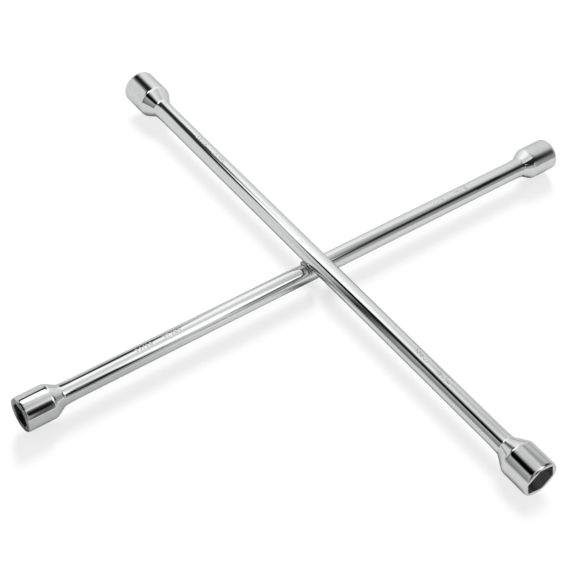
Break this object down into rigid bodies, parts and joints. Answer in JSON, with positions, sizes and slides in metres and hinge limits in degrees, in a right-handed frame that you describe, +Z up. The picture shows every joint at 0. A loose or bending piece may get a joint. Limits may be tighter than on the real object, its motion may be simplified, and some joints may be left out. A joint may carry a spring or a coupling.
{
  "type": "lug wrench",
  "caption": "Four-way wheel nut wrench: two chromed round bars welded in a cross, one over the other, with a hex socket on each end.",
  "frame": {"origin": "on the ground, straight below the crossing of the two bars; the four arms differ a little, so the part's box is centred on it to within 2 mm", "axes": "+Z up; +X along the upper bar towards the 22 mm socket; +Y along the lower bar towards the 19 mm socket"},
  "size_m": [0.5055, 0.5075, 0.0424],
  "materials": {
    "bar_chrome": "bright mirror chrome plate on drawn round bar",
    "socket_chrome": "bright chrome plate on a polished forging, darker and rougher inside the hex",
    "weld_chrome": "chrome plate over an as-laid weld bead, duller than the bars"
  },
  "bodies": {
    "root": {"upper_bar": "bar_chrome", "lower_bar": "bar_chrome", "socket_22mm": "socket_chrome", "socket_21mm": "socket_chrome", "socket_19mm": "socket_chrome", "socket_17mm": "socket_chrome", "front_weld_bead": "weld_chrome", "rear_weld_bead": "weld_chrome"}
  },
  "joints": []
}
